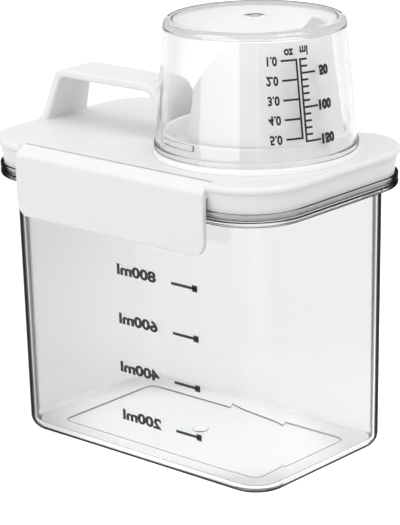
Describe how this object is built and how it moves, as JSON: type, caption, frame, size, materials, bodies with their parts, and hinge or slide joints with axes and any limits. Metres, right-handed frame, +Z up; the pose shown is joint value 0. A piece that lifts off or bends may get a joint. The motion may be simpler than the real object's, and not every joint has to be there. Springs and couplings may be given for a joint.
{
  "type": "detergent dispenser",
  "caption": "Clear rectangular box with a clip-down pouring lid, a strap handle, a latch on each long side and a measuring cup over the spout as its cap.",
  "frame": {"origin": "middle of the outline on the table, under the box", "axes": "+Z up, +X from the handle towards the cup, the front latch and the printed scale at -Y"},
  "size_m": [0.15, 0.1032, 0.1755],
  "materials": {
    "clear_plastic": "clear gloss",
    "white_plastic": "white satin",
    "silicone": "matt",
    "print_ink": "black pad print"
  },
  "bodies": {
    "box": {"container": "clear_plastic", "lid": "white_plastic", "lid_seal": "silicone", "pour_spout": "white_plastic"},
    "front_flap": {"front_latch": "white_plastic"},
    "rear_flap": {"rear_latch": "white_plastic"},
    "cup": {"measuring_cup": "clear_plastic"}
  },
  "joints": [
    {"name": "front_latch_hinge", "type": "hinge", "parent": "box", "child": "front_flap", "pos_m": [0, -0.0465, 0.1206], "axis": [-1, 0, 0], "range_deg": [0, 90]},
    {"name": "rear_latch_hinge", "type": "hinge", "parent": "box", "child": "rear_flap", "pos_m": [0, 0.0465, 0.1206], "axis": [1, 0, 0], "range_deg": [0, 90]},
    {"name": "cup_lift", "type": "slide", "parent": "box", "child": "cup", "axis": [0, 0, 1], "range_m": [0, 0.06]}
  ]
}
